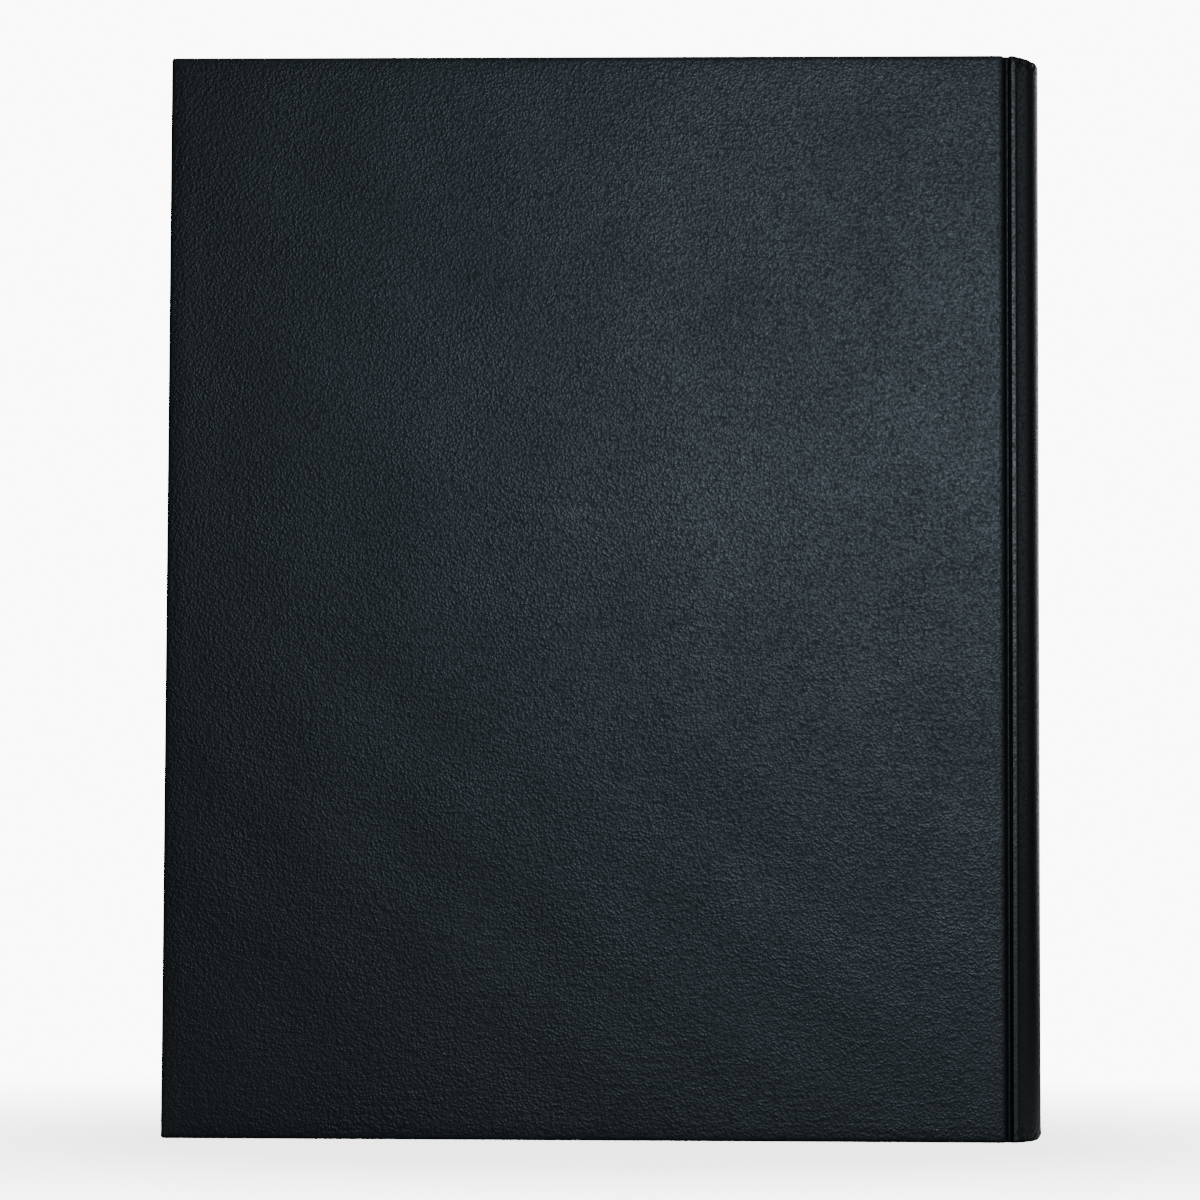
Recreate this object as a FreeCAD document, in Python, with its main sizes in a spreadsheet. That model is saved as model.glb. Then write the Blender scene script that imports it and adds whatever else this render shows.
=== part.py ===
import FreeCAD, Part
import os
import re

import Sketcher

# A case-bound sketchbook standing closed on its tail edge, in millimetres.
# +X runs from the fore edge to the spine, +Y from the back cover to the front cover, +Z from tail to head.
# The origin is the middle of the tail edge, halfway through the thickness.

DIMENSIONS = [
    ("page_width", 216.0, "leaf, fold to fore edge"),
    ("page_height", 279.0, "leaf, tail to head"),
    ("signature_thick", 2.25, "one sewn signature of sixteen leaves"),
    ("signature_gap", 0.02, "between two signatures"),
    ("leaf_thick", 0.2, "a free leaf or flyleaf"),
    ("leaf_gap", 0.08, "between two free leaves"),
    ("cover_gap", 0.12, "flyleaf to pastedown"),
    ("paper_thick", 0.15, "pastedown"),
    ("board_thick", 2.5, "greyboard"),
    ("cloth_thick", 0.4, "covering material"),
    ("board_square", 3.1, "board beyond the leaves at head and tail"),
    ("fore_square", 4.0, "board beyond the leaves at the fore edge"),
    ("turn_in", 15.0, "covering folded over the inside of a board"),
    ("paste_margin", 3.0, "board edge to pastedown edge"),
    ("spine_rise", 4.0, "height of the rounded back of the leaves"),
    ("thread_thick", 0.28, "sewing thread over the folds"),
    ("thread_width", 1.2, "band of thread at one sewing station"),
    ("station_margin", 22.0, "leaf edge to the first sewing station"),
    ("glue_thick", 0.2, "glue film on the back of the leaves"),
    ("mull_thick", 0.3, "open-weave cloth on the glue"),
    ("lining_thick", 0.3, "kraft paper on the mull"),
    ("lining_margin", 12.0, "leaf edge to the end of the mull and lining"),
    ("hollow_gap", 3.5, "hollow between lining and spine inlay"),
    ("inlay_thick", 1.0, "card strip inside the spine covering"),
    ("inlay_margin", 1.2, "inlay edge inside the spine covering's edge"),
    ("spine_bulge", 6.7, "height of the rounded spine covering"),
    ("ridge_drop", 0.7, "spine edge below the cover's outer face"),
    ("joint_width", 3.4, "groove from board edge to spine edge"),
    ("joint_depth", 2.45, "groove below the cover's outer face"),
    ("joint_floor", 0.9, "flat bottom of the groove"),
    ("joint_play", 0.05, "joint cloth to its neighbours"),
    ("corner_radius", 3.4, "rounded head and tail of the spine covering"),
    ("band_drop", 1.0, "head band inwards from the back of the leaves"),
    ("band_rise", 0.6, "head band outwards from the back of the leaves"),
    ("band_thick", 1.5, "head band above the leaves"),
]

SIGNATURES = 7
FREE_LEAVES = 3  # at each cover: the flyleaf and two leaves
STATIONS = 5
CUT_PLAY = 1.0  # how far a cutting tool passes the solid

PLACES = [
    ("half_block", f"({SIGNATURES} * signature_thick + {SIGNATURES - 1} * signature_gap) / 2"),
    ("leaf_pitch", "leaf_thick + leaf_gap"),
    ("leaves_out", f"half_block + {FREE_LEAVES} * leaf_pitch"),
    ("paste_in", "leaves_out + cover_gap"),
    ("flap_in", "paste_in + paper_thick"),
    ("board_in", "flap_in + cloth_thick"),
    ("board_out", "board_in + board_thick"),
    ("cover_out", "board_out + cloth_thick"),
    ("cover_height", "page_height + 2 * board_square"),
    ("page_top", "board_square + page_height"),
    ("lining_stack", "thread_thick + glue_thick + mull_thick + lining_thick"),
    ("outer_stack", "hollow_gap + inlay_thick + cloth_thick"),
    ("cover_width", "fore_square + page_width + spine_rise + lining_stack + outer_stack"),
    ("spine_x", "cover_width / 2"),
    ("fore_x", "-cover_width / 2"),
    ("page_fore", "fore_x + fore_square"),
    ("page_spine", "page_fore + page_width"),
    ("back_radius", "(half_block ^ 2 + spine_rise ^ 2) / (2 * spine_rise)"),
    ("back_centre", "page_spine + spine_rise - back_radius"),
    ("hollow_centre", "back_centre - page_width"),
    ("thread_in", "back_radius + signature_gap"),
    ("thread_out", "back_radius + thread_thick"),
    ("glue_out", "thread_out + glue_thick"),
    ("mull_out", "glue_out + mull_thick"),
    ("lining_out", "mull_out + lining_thick"),
    ("lining_reach", "half_block - leaf_thick"),
    ("spine_reach", "cover_out - ridge_drop"),
    ("spine_radius", "(spine_reach ^ 2 + spine_bulge ^ 2) / (2 * spine_bulge)"),
    ("spine_centre", "spine_x - spine_radius"),
    ("spine_lined", "spine_radius - cloth_thick"),
    ("spine_inner", "spine_lined - inlay_thick"),
    ("inlay_reach", "spine_reach - inlay_margin"),
    ("spine_edge", "spine_x - spine_bulge"),
    ("board_edge", "spine_edge - joint_width"),
    ("groove_floor", "cover_out - joint_depth"),
    ("ridge_x", "spine_centre + sqrt(spine_lined ^ 2 - spine_reach ^ 2) - joint_play"),
    ("groove_x", "(board_edge + ridge_x - joint_floor) / 2"),
    ("station_pitch", f"(page_height - 2 * station_margin) / {STATIONS - 1}"),
]


def write_sheet(doc, name, rows):
    """A sheet with one row for each alias: its words and its value or formula."""
    sheet = doc.addObject("Spreadsheet::Sheet", name)
    for number, (alias, value, words) in enumerate(rows, 1):
        sheet.set(f"A{number}", words)
        sheet.set(f"B{number}", value)
        sheet.setAlias(f"B{number}", alias)
    return sheet


def write_sheets(doc):
    """Driving dimensions as plain numbers, and the places worked out from them."""
    write_sheet(doc, "Sizes", [(alias, str(number), words) for alias, number, words in DIMENSIONS])
    doc.recompute()
    write_sheet(doc, "Places", [(a, "=" + tied(f, own=""), a.replace("_", " ")) for a, f in PLACES])
    doc.recompute()


def tied(formula, own="Places."):
    """The formula with the sheet's name before each alias: own is what goes before one of Places."""
    sizes = {alias for alias, _, _ in DIMENSIONS}
    places = {alias for alias, _ in PLACES}

    def named(match):
        word = match.group()
        return f"Sizes.{word}" if word in sizes else f"{own}{word}" if word in places else word

    return re.sub(r"[a-z_]+", named, formula)


def value(doc, formula):
    """A formula's number, from the two sheets."""
    return float(doc.Sizes.evalExpression(tied(formula)))


def bind(thing, path, formula):
    """Ties one property to a formula of the sheets' aliases."""
    thing.setExpression(path, tied(formula))


def box(doc, name, low, high):
    """A Part::Box between two corners, each coordinate a formula."""
    solid = doc.addObject("Part::Box", name)
    for size, axis, start, end in zip(("Length", "Width", "Height"), "xyz", low, high, strict=True):
        bind(solid, f"Placement.Base.{axis}", start)
        bind(solid, size, f"( {end} ) - ( {start} )")
    return solid


def difference(doc, name, base, tool):
    """A Part::Cut of base by tool."""
    cut = doc.addObject("Part::Cut", name)
    cut.Base, cut.Tool = base, tool
    return cut


def sketch_on(body, name, role):
    """A sketch on one of the body's own origin planes."""
    sketch = body.newObject("Sketcher::SketchObject", name)
    plane = next(f for f in body.Origin.OriginFeatures if f.Role == role)
    sketch.AttachmentSupport = [(plane, "")]
    sketch.MapMode = "FlatFace"
    return sketch


def draw_outline(doc, sketch, points, arcs):
    """A closed outline through points, each a pair of formulas. arcs maps an edge's number to its radius and the X
    of its centre, which lies on the X axis; the arc runs on the centre's +X side."""
    at = [FreeCAD.Vector(value(doc, x), value(doc, y), 0) for x, y in points]
    ends = []
    for number, start in enumerate(at):
        end = at[(number + 1) % len(at)]
        if number not in arcs:
            ends.append((sketch.addGeometry(Part.LineSegment(start, end)), 1, 2))
            continue
        radius, centre = (value(doc, formula) for formula in arcs[number])
        level = (start.y + end.y) / 2
        middle = FreeCAD.Vector(centre + (radius**2 - level**2) ** 0.5, level, 0)
        arc = sketch.addGeometry(Part.Arc(start, middle, end))
        # an arc's own ends run anticlockwise
        ends.append((arc, 1, 2) if end.y > start.y else (arc, 2, 1))
        held = Sketcher.Constraint("DistanceX", -1, 1, arc, 3, centre)
        name_constraint(sketch, held, f"centre_{number}", arcs[number][1])
    for number, (geometry, first, last) in enumerate(ends):
        following, start, _ = ends[(number + 1) % len(ends)]
        sketch.addConstraint(Sketcher.Constraint("Coincident", geometry, last, following, start))
        for word, formula, where in zip("XY", points[number], (at[number].x, at[number].y), strict=True):
            held = Sketcher.Constraint(f"Distance{word}", -1, 1, geometry, first, where)
            name_constraint(sketch, held, f"{word.lower()}_{number}", formula)


def name_constraint(sketch, constraint, name, formula):
    """Adds a constraint whose value follows a formula."""
    index = sketch.addConstraint(constraint)
    sketch.renameConstraint(index, name)
    bind(sketch, f"Constraints.{name}", formula)


def prism(doc, name, points, tail, height, arcs=None):
    """A body: an outline in X and Y padded upwards from tail."""
    body = doc.addObject("PartDesign::Body", name)
    sketch = sketch_on(body, f"{name}_outline", "XY_Plane")
    draw_outline(doc, sketch, points, arcs or {})
    pad = body.newObject("PartDesign::Pad", f"{name}_pad")
    pad.Profile = sketch
    bind(pad, "Length", height)
    bind(body, "Placement.Base.z", tail)
    sketch.Visibility = False
    return body


def arc_band(doc, name, centre, inner, outer, reach, tail, height):
    """A curved band between two radii about a point on the X axis, cut off level at plus and minus reach in Y."""
    inside = f"{centre} + sqrt( {inner} ^ 2 - {reach} ^ 2 )"
    outside = f"{centre} + sqrt( {outer} ^ 2 - {reach} ^ 2 )"
    points = [(outside, f"- {reach}"), (outside, reach), (inside, reach), (inside, f"- {reach}")]
    arcs = {0: (outer, centre), 2: (inner, centre)}
    return prism(doc, name, points, tail, height, arcs)


def between(side, near, far):
    """Two Y formulas in rising order, for the front side (1) or the back side (-1)."""
    return (near, far) if side > 0 else (f"- ( {far} )", f"- ( {near} )")


def make_signatures(doc):
    """The sewn signatures, with a rounded back and a hollow fore edge."""
    made = []
    for number in range(SIGNATURES):
        low = f"{number} * ( signature_thick + signature_gap ) - half_block"
        high = f"{low} + signature_thick"
        backs = [f"back_centre + sqrt( back_radius ^ 2 - ( {y} ) ^ 2 )" for y in (low, high)]
        fores = [f"hollow_centre + sqrt( back_radius ^ 2 - ( {y} ) ^ 2 )" for y in (low, high)]
        points = [(backs[0], low), (backs[1], high), (fores[1], high), (fores[0], low)]
        arcs = {0: ("back_radius", "back_centre"), 2: ("back_radius", "hollow_centre")}
        made.append(prism(doc, f"signature_{number + 1}", points, "board_square", "page_height", arcs))
    return made


def make_free_leaves(doc, side, word):
    """The flyleaf and the leaves under it, from the cover inwards."""
    made = []
    for number in range(FREE_LEAVES):
        outer = f"leaves_out - {number} * leaf_pitch"
        low, high = between(side, f"{outer} - leaf_thick", outer)
        name = f"{word}_flyleaf" if number == 0 else f"{word}_leaf_{number}"
        made.append(box(doc, name, ("page_fore", low, "board_square"), ("page_spine", high, "page_top")))
    return made


def make_board(doc, side, word):
    """The greyboard of one cover."""
    low, high = between(side, "board_in", "board_out")
    top = "cover_height - cloth_thick"
    return box(doc, f"{word}_board", ("fore_x + cloth_thick", low, "cloth_thick"), ("board_edge", high, top))


def make_covering(doc, side, word):
    """The covering of one board: its outer face, three wrapped edges and three turn-ins."""
    name = f"{word}_covering"
    past = f"board_edge + {CUT_PLAY}"
    low, high = between(side, "flap_in", "cover_out")
    whole = box(doc, f"{name}_block", ("fore_x", low, "0"), ("board_edge", high, "cover_height"))
    low, high = between(side, "board_in", "board_out")
    top = "cover_height - cloth_thick"
    inside = box(doc, f"{name}_inside", ("fore_x + cloth_thick", low, "cloth_thick"), (past, high, top))
    low, high = between(side, f"flap_in - {CUT_PLAY}", "board_out")
    top = "cover_height - turn_in"
    window = box(doc, f"{name}_window", ("fore_x + turn_in", low, "turn_in"), (past, high, top))
    return difference(doc, name, difference(doc, f"{name}_shell", whole, inside), window)


def make_pastedown(doc, side, word):
    """The pasted endpaper: it lies on the board, and steps up over the turn-ins."""
    name = f"{word}_pastedown"
    low, high = between(side, "paste_in", "flap_in")
    top = "cover_height - paste_margin"
    over = box(doc, f"{name}_sheet", ("fore_x + paste_margin", low, "paste_margin"), ("board_edge", high, top))
    low, high = between(side, "paste_in", "board_in")
    top = "cover_height - turn_in"
    under = box(doc, f"{name}_middle", ("fore_x + turn_in", low, "turn_in"), ("board_edge", high, top))
    joined = doc.addObject("Part::Fuse", name)
    joined.Base, joined.Tool = over, under
    joined.Refine = True
    return joined


def make_joint_cloth(doc, side, word):
    """The covering pressed into the groove between a board and the spine."""
    sign = "" if side > 0 else "-"
    edge = "board_edge + joint_play"
    outline = [
        ("ridge_x", "spine_reach - joint_play"),
        ("groove_x + joint_floor", "groove_floor"),
        ("groove_x", "groove_floor"),
        (edge, "cover_out - cloth_thick - joint_play"),
        (edge, "cover_out - board_thick / 2"),
        ("groove_x - cloth_thick", "groove_floor - cloth_thick"),
        ("groove_x + joint_floor + cloth_thick", "groove_floor - cloth_thick"),
        ("ridge_x", "spine_reach - 2 * cloth_thick"),
    ]
    points = [(x, f"{sign}( {y} )") for x, y in outline]
    return prism(doc, f"{word}_joint_cloth", points, "0", "cover_height")


def make_spine_covering(doc):
    """The rounded covering of the spine, its outer corners rounded at head and tail."""
    band = arc_band(
        doc, "spine_band", "spine_centre", "spine_lined", "spine_radius", "spine_reach", "0", "cover_height"
    )
    tool = doc.addObject("PartDesign::Body", "spine_corners")
    sketch = sketch_on(tool, "spine_corners_outline", "XZ_Plane")
    rounding = value(doc, "corner_radius")
    for name, tip, turn in (("tail", "0", 1), ("head", "cover_height", -1)):
        draw_corner(doc, sketch, name, tip, turn * rounding)
    pad = tool.newObject("PartDesign::Pad", "spine_corners_pad")
    pad.Profile = sketch
    pad.Midplane = True
    bind(pad, "Length", f"2 * cover_out + {CUT_PLAY}")
    return difference(doc, "spine_covering", band, tool)


def draw_corner(doc, sketch, name, tip, rounding):
    """The scrap between a square corner at the spine's outer edge and its quarter round."""
    reach, level = value(doc, "spine_x"), value(doc, tip)
    corner = FreeCAD.Vector(reach, level, 0)
    beside = FreeCAD.Vector(reach - abs(rounding), level, 0)
    beyond = FreeCAD.Vector(reach, level + rounding, 0)
    half = (1 - 0.5**0.5) * rounding
    middle = FreeCAD.Vector(reach - abs(half), level + half, 0)
    sign = "" if rounding > 0 else "-"
    down = sketch.addGeometry(Part.LineSegment(beside, corner))
    along = sketch.addGeometry(Part.LineSegment(corner, beyond))
    arc = sketch.addGeometry(Part.Arc(beyond, middle, beside))
    first, last = (1, 2) if rounding > 0 else (2, 1)
    for pair in ((down, 2, along, 1), (along, 2, arc, last), (arc, first, down, 1)):
        sketch.addConstraint(Sketcher.Constraint("Coincident", *pair))
    places = (
        ("corner_x", "DistanceX", (down, 2), "spine_x", reach),
        ("corner_z", "DistanceY", (down, 2), tip, level),
        ("beside_x", "DistanceX", (down, 1), "spine_x - corner_radius", beside.x),
        ("beside_z", "DistanceY", (down, 1), tip, level),
        ("beyond_x", "DistanceX", (along, 2), "spine_x", reach),
        ("beyond_z", "DistanceY", (along, 2), f"{tip} + {sign}corner_radius", beyond.y),
    )
    for word, kind, (geometry, end), formula, where in places:
        held = Sketcher.Constraint(kind, -1, 1, geometry, end, where)
        name_constraint(sketch, held, f"{name}_{word}", formula)
    held = Sketcher.Constraint("DistanceX", -1, 1, arc, 3, beside.x)
    name_constraint(sketch, held, f"{name}_centre", "spine_x - corner_radius")


def make_spine_inlay(doc):
    """The card strip that shapes the spine covering."""
    return arc_band(
        doc,
        "spine_inlay",
        "spine_centre",
        "spine_inner",
        "spine_lined",
        "inlay_reach",
        "corner_radius",
        "cover_height - 2 * corner_radius",
    )


def make_linings(doc):
    """Glue film, mull and kraft lining on the back of the leaves, one on the other."""
    back, reach = "back_centre", "lining_reach"
    glue = arc_band(doc, "spine_glue", back, "thread_out", "glue_out", reach, "board_square", "page_height")
    tail = "board_square + lining_margin"
    height = "page_height - 2 * lining_margin"
    mull = arc_band(doc, "mull", back, "glue_out", "mull_out", reach, tail, height)
    lining = arc_band(doc, "spine_lining", back, "mull_out", "lining_out", reach, tail, height)
    return [glue, mull, lining]


def make_thread(doc):
    """The sewing thread where it crosses the folds, one band at each sewing station."""
    bands = []
    for number in range(STATIONS):
        tail = f"board_square + station_margin + {number} * station_pitch - thread_width / 2"
        name = f"thread_{number + 1}"
        reach = "lining_reach"
        bands.append(arc_band(doc, name, "back_centre", "thread_in", "thread_out", reach, tail, "thread_width"))
    thread = doc.addObject("Part::Compound", "sewing_thread")
    thread.Links = bands
    return thread


def make_bands(doc):
    """The head band and the tail band over the ends of the folds."""
    inner, outer = "( back_radius - band_drop )", "( back_radius + band_rise )"
    tails = (("head_band", "page_top"), ("tail_band", "board_square - band_thick"))
    return [
        arc_band(doc, name, "back_centre", inner, outer, "lining_reach", tail, "band_thick")
        for name, tail in tails
    ]


def make_parts(doc):
    """Every sub-part of the book, with its Label as its name."""
    parts = make_signatures(doc)
    for side, word in ((1, "front"), (-1, "back")):
        parts += make_free_leaves(doc, side, word)
        parts += [make_board(doc, side, word), make_covering(doc, side, word)]
        parts += [make_pastedown(doc, side, word), make_joint_cloth(doc, side, word)]
    parts += [make_spine_covering(doc), make_spine_inlay(doc), make_thread(doc)]
    return parts + make_linings(doc) + make_bands(doc)


def check(doc, parts):
    """Stops if any object failed or any sub-part is not a valid shape with a volume."""
    for thing in doc.Objects:
        if {"Invalid", "Error"} & set(thing.State):
            raise RuntimeError(f"{thing.Name} failed: {thing.State}")
    for part in parts:
        if part.Shape.isNull() or not part.Shape.isValid() or part.Shape.Volume <= 0:
            raise RuntimeError(f"{part.Label} has no valid shape")


def write_steps(parts):
    """One STEP file for each sub-part, named by its Label."""
    os.makedirs("parts", exist_ok=True)
    for part in parts:
        part.Shape.exportStep(f"parts/{part.Label}.step")


document = FreeCAD.newDocument("sketchbook")
write_sheets(document)
sub_parts = make_parts(document)
document.recompute()
check(document, sub_parts)
write_steps(sub_parts)
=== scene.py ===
"""A case-bound sketchbook standing on its tail edge: leathercloth cover, paper, linings, stage and camera."""

import math

import bmesh
import bpy
import numpy as np
from mathutils import Matrix, Vector


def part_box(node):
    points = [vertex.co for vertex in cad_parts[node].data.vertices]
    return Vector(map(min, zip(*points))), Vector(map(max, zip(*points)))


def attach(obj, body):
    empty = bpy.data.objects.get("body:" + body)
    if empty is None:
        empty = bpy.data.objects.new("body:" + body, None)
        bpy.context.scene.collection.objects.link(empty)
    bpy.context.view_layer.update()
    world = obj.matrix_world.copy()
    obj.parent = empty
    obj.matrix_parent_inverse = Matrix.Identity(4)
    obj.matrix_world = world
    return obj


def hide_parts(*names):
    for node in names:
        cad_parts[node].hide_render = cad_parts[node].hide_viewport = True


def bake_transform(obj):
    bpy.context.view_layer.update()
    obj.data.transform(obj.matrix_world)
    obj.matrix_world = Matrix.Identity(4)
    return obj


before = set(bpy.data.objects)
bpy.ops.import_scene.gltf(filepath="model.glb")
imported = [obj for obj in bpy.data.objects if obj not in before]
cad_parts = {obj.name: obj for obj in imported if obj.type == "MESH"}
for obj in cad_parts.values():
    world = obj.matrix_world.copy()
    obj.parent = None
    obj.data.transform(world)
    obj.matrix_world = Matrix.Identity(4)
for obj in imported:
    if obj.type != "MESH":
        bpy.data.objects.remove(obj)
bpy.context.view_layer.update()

bl_info = {
    "name": "Case-bound Sketchbook",
    "version": (1, 0, 0),
    "blender": (4, 5, 0),
    "location": "View3D > Sidebar > Sketchbook",
    "description": "Dresses the packed sketchbook in leathercloth and paper",
    "category": "Add Mesh",
}

MM = 0.001
SIDES = (("front", 1), ("back", -1))

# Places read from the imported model, in metres.
COVER_LOW, COVER_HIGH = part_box("front_covering")
PASTE_LOW, PASTE_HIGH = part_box("front_pastedown")
LEAF_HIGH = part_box("front_flyleaf")[1]
SPINE_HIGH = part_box("spine_covering")[1]
FORE_X, BOARD_EDGE = COVER_LOW.x, COVER_HIGH.x
FLAP_IN, COVER_OUT, HEIGHT = COVER_LOW.y, COVER_HIGH.y, COVER_HIGH.z
SPINE_X, SPINE_REACH = SPINE_HIGH.x, SPINE_HIGH.y
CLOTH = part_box("front_board")[0].z - COVER_LOW.z
HALF_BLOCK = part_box("signature_7")[1].y
BACK_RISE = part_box("signature_4")[1].x - LEAF_HIGH.x
BACK_RADIUS = (HALF_BLOCK**2 + BACK_RISE**2) / (2 * BACK_RISE)
BACK_CENTRE = LEAF_HIGH.x + BACK_RISE - BACK_RADIUS

# Where the groove's wall starts, and where the joint's covering meets the spine's.
WALL_START = BOARD_EDGE + 1.5 * MM
SEAM_X = BOARD_EDGE + 1.9 * MM

SHARP_TURN = math.radians(50)
BEVEL_TURN = math.radians(60)
BEVEL_STEPS = 4
MERGED = 1e-7
ROLLED_WIDTH = 1.5 * MM
CORD_SIDES = 16
BAND_TURNS = 22
FLOOR_REACH = 0.6
WHITE_SEEN = 10.0
SENSOR_WIDTH = 36.0


def floats(name, words, default, **more):
    """A number that a user may change."""
    return bpy.props.FloatProperty(name=name, description=words, default=default, **more)


def length(name, words, default):
    """A length in metres."""
    return floats(name, words, default, unit="LENGTH", precision=5)


def colour(name, words, default):
    """A linear colour."""
    return bpy.props.FloatVectorProperty(
        name=name, description=words, default=default, subtype="COLOR", size=3, min=0.0, max=1.0
    )


class LeatherSettings(bpy.types.PropertyGroup):
    """Finish of the leathercloth."""

    shade: colour("Shade", "Colour of the leathercloth", (0.0062, 0.0085, 0.0100))
    roughness: floats("Roughness", "How dull the leathercloth is", 0.28, min=0.0, max=1.0)
    grain_size: length("Grain size", "Distance between two pebbles of the grain", 0.7 * MM)
    grain_depth: length("Grain depth", "Depth of the grain", 0.09 * MM)
    spine_grain: floats("Spine grain", "Share of the grain left where it stretches", 0.35, min=0.0, max=1.0)


class CoverSettings(bpy.types.PropertyGroup):
    """Shape of the two boards in their covering."""

    edge_radius: length("Edge radius", "Rounding of the wrapped board edges", 0.75 * MM)
    ripple: length("Ripple", "Height of the slow waves on the covering", 0.045 * MM)
    turn_in: length("Turn-in", "Covering folded over the inside of a board", 15 * MM)
    wrapped: length("Wrapped edge", "Covering round the board's edge in the groove", 0.45 * MM)
    pasted_step: length("Pasted step", "Endpaper sunk between the turn-ins", 0.07 * MM)


class SpineSettings(bpy.types.PropertyGroup):
    """Shape of the spine covering and the two grooves."""

    bulge: length("Bulge", "Height of the rounded spine", 6.7 * MM)
    cap_radius: length("Cap radius", "Rounding of the spine at head and tail", 2.0 * MM)
    crumple: length("Crumple", "Height of the folds in the turned-in caps", 0.16 * MM)
    lip: length("Lip", "Thickness of the covering where it is turned in", 1.8 * MM)
    groove_depth: length("Groove depth", "Depth of the groove under the ridge", 1.75 * MM)
    groove_wall: length("Groove wall", "Width over which the groove rises to the ridge", 0.95 * MM)
    ridge_level: length("Ridge level", "Ridge below the cover's outer face", 0.85 * MM)


class PaperSettings(bpy.types.PropertyGroup):
    """Colours of the paper and linings."""

    page: colour("Page", "Colour of the drawing paper", (0.84, 0.81, 0.73))
    endpaper: colour("Endpaper", "Colour of the endpapers", (0.87, 0.85, 0.79))
    kraft: colour("Kraft", "Colour of the spine lining", (0.36, 0.23, 0.13))
    bend_width: length("Bend width", "Strip of a leaf that bends as it turns", 9 * MM)


class StageSettings(bpy.types.PropertyGroup):
    """Camera and light."""

    distance: length("Distance", "Camera to the book", 1.15)
    aside: length("Aside", "Camera towards the spine from the middle of the book", 0.042)
    drop: length("Drop", "Camera below the middle of the book", 0.080)
    framed: length("Framed", "Width of the picture at the cover", 0.3138)
    roll: floats("Roll", "Turn of the camera about its axis", math.radians(0.22), subtype="ANGLE")
    key_power: floats("Key power", "Watts of the soft light beside the camera", 4.0, min=0.0)
    top_power: floats("Top power", "Watts of the soft light overhead", 9.0, min=0.0)
    rim_power: floats("Rim power", "Watts of the soft light behind the spine", 3.4, min=0.0)
    ambient: floats("Ambient", "Strength of the light from all round", 0.02, min=0.0)
    floor_shade: colour("Floor", "Colour of the floor", (0.9, 0.9, 0.9))


# ---------------------------------------------------------------- surfaces


def smooth(t):
    """0 below 0, 1 above 1, and a smooth step between: 3 t squared less 2 t cubed."""
    t = np.clip(t, 0.0, 1.0)
    return t * t * (3 - 2 * t)


def ramped(low, high, fine_low, fine_high, fine, coarse):
    """Rising places from low to high: fine steps apart in the two fine ends, coarse steps apart
    between."""
    first = np.linspace(low, low + fine_low, max(2, round(fine_low / fine) + 1))
    last = np.linspace(high - fine_high, high, max(2, round(fine_high / fine) + 1))
    count = max(2, round((last[0] - first[-1]) / coarse) + 1)
    return np.concatenate([first[:-1], np.linspace(first[-1], last[0], count), last[1:]])


def waves(x, z, seed, longest, shortest, count=9):
    """The sum of count plane waves of seeded direction, phase and length, over the square root of
    count."""
    random = np.random.default_rng(seed)
    total = np.zeros(np.broadcast(x, z).shape)
    for _ in range(count):
        turn, phase, step = random.uniform(0, 2 * math.pi, 2).tolist() + [random.uniform(shortest, longest)]
        total += np.sin((x * math.cos(turn) + z * math.sin(turn)) * 2 * math.pi / step + phase)
    return total / math.sqrt(count)


def grid_quads(rows, columns, start=0):
    """The quads of a grid of rows by columns points."""
    at = np.arange(rows * columns).reshape(rows, columns) + start
    return np.stack([at[:-1, :-1], at[1:, :-1], at[1:, 1:], at[:-1, 1:]], axis=-1).reshape(-1, 4)


def rim_quads(rows, columns):
    """The quads that join the edges of two grids of the same size, the second stored after the first."""
    at = np.arange(rows * columns).reshape(rows, columns)
    loop = np.concatenate([at[0, :-1], at[:-1, -1], at[-1, :0:-1], at[:0:-1, 0]])
    after = np.roll(loop, -1)
    return np.stack([loop, after, after + rows * columns, loop + rows * columns], axis=-1)


def smooth_shading(mesh):
    """Smooth shading, broken where faces meet at a sharp turn."""
    mesh.shade_smooth()
    mesh.set_sharp_from_angle(angle=SHARP_TURN)


def solid_from(name, points, quads, material):
    """A mesh object from points and quads, turned outwards by the sign of its volume, doubles merged."""
    mesh = bpy.data.meshes.new(name)
    mesh.from_pydata(points.reshape(-1, 3).tolist(), [], quads.tolist())
    shape = bmesh.new()
    shape.from_mesh(mesh)
    bmesh.ops.remove_doubles(shape, verts=shape.verts, dist=MERGED)
    bmesh.ops.recalc_face_normals(shape, faces=shape.faces)
    if shape.calc_volume(signed=True) < 0:
        bmesh.ops.reverse_faces(shape, faces=shape.faces)
    shape.to_mesh(mesh)
    shape.free()
    smooth_shading(mesh)
    mesh.materials.append(material)
    piece = bpy.data.objects.new(name, mesh)
    bpy.context.scene.collection.objects.link(piece)
    return piece


def wall(name, outer, inner, material):
    """A closed wall between two grids of points that match one to one, joined along their edges."""
    rows, columns = outer.shape[:2]
    quads = np.concatenate([
        grid_quads(rows, columns),
        grid_quads(rows, columns, rows * columns)[:, ::-1],
        rim_quads(rows, columns),
    ])
    return solid_from(name, np.stack([outer, inner]), quads, material)


def slab(name, xs, zs, outer_y, inner_y, material):
    """A flat wall over the rectangle xs by zs, its two faces at the heights outer_y and inner_y."""
    x, z = np.meshgrid(xs, zs, indexing="ij")
    outer = np.stack([x, np.broadcast_to(outer_y, x.shape), z], axis=-1)
    inner = np.stack([x, np.broadcast_to(inner_y, x.shape), z], axis=-1)
    return wall(name, outer, inner, material)


def round_edges(piece, radius):
    """Rounds the edges that turn by more than the bevel's limit, and applies it."""
    bevel = piece.modifiers.new("rounding", "BEVEL")
    bevel.width, bevel.segments = radius, BEVEL_STEPS
    bevel.limit_method, bevel.angle_limit = "ANGLE", BEVEL_TURN
    apply_modifiers(piece)


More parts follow.
